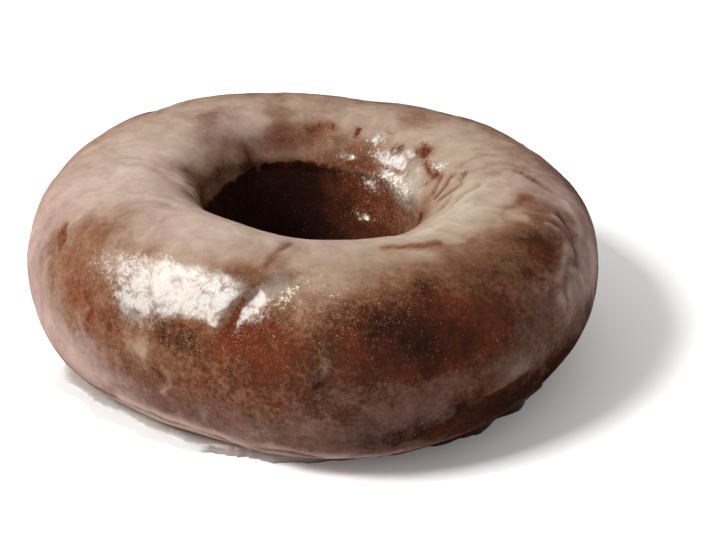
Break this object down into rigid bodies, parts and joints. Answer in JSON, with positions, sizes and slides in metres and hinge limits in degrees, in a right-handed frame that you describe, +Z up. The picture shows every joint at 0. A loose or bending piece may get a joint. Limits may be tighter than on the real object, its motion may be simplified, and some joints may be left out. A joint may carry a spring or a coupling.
{
  "type": "chocolate glazed doughnut",
  "caption": "Ring doughnut of chocolate dough under a thin cloudy sugar glaze, with an open hole through its middle; it rests flat on its base.",
  "frame": {"origin": "on the surface it rests on, below the middle of its box, in the middle of the hole", "axes": "+Z up along the axis of the hole, -Y towards the side that the picture shows in front, +X to the right of that view"},
  "size_m": [0.0932, 0.0924, 0.0312],
  "materials": {
    "glazed_chocolate_dough": "brown chocolate dough under a milky, half dry sugar glaze: glossy, with finely grained patches",
    "clear_sugar_glaze": "thin clear to milky sugar glaze, wet gloss",
    "sugar_crystals": "tiny pale crystals that sparkle"
  },
  "bodies": {
    "root": {"doughnut": "glazed_chocolate_dough"}
  },
  "joints": []
}
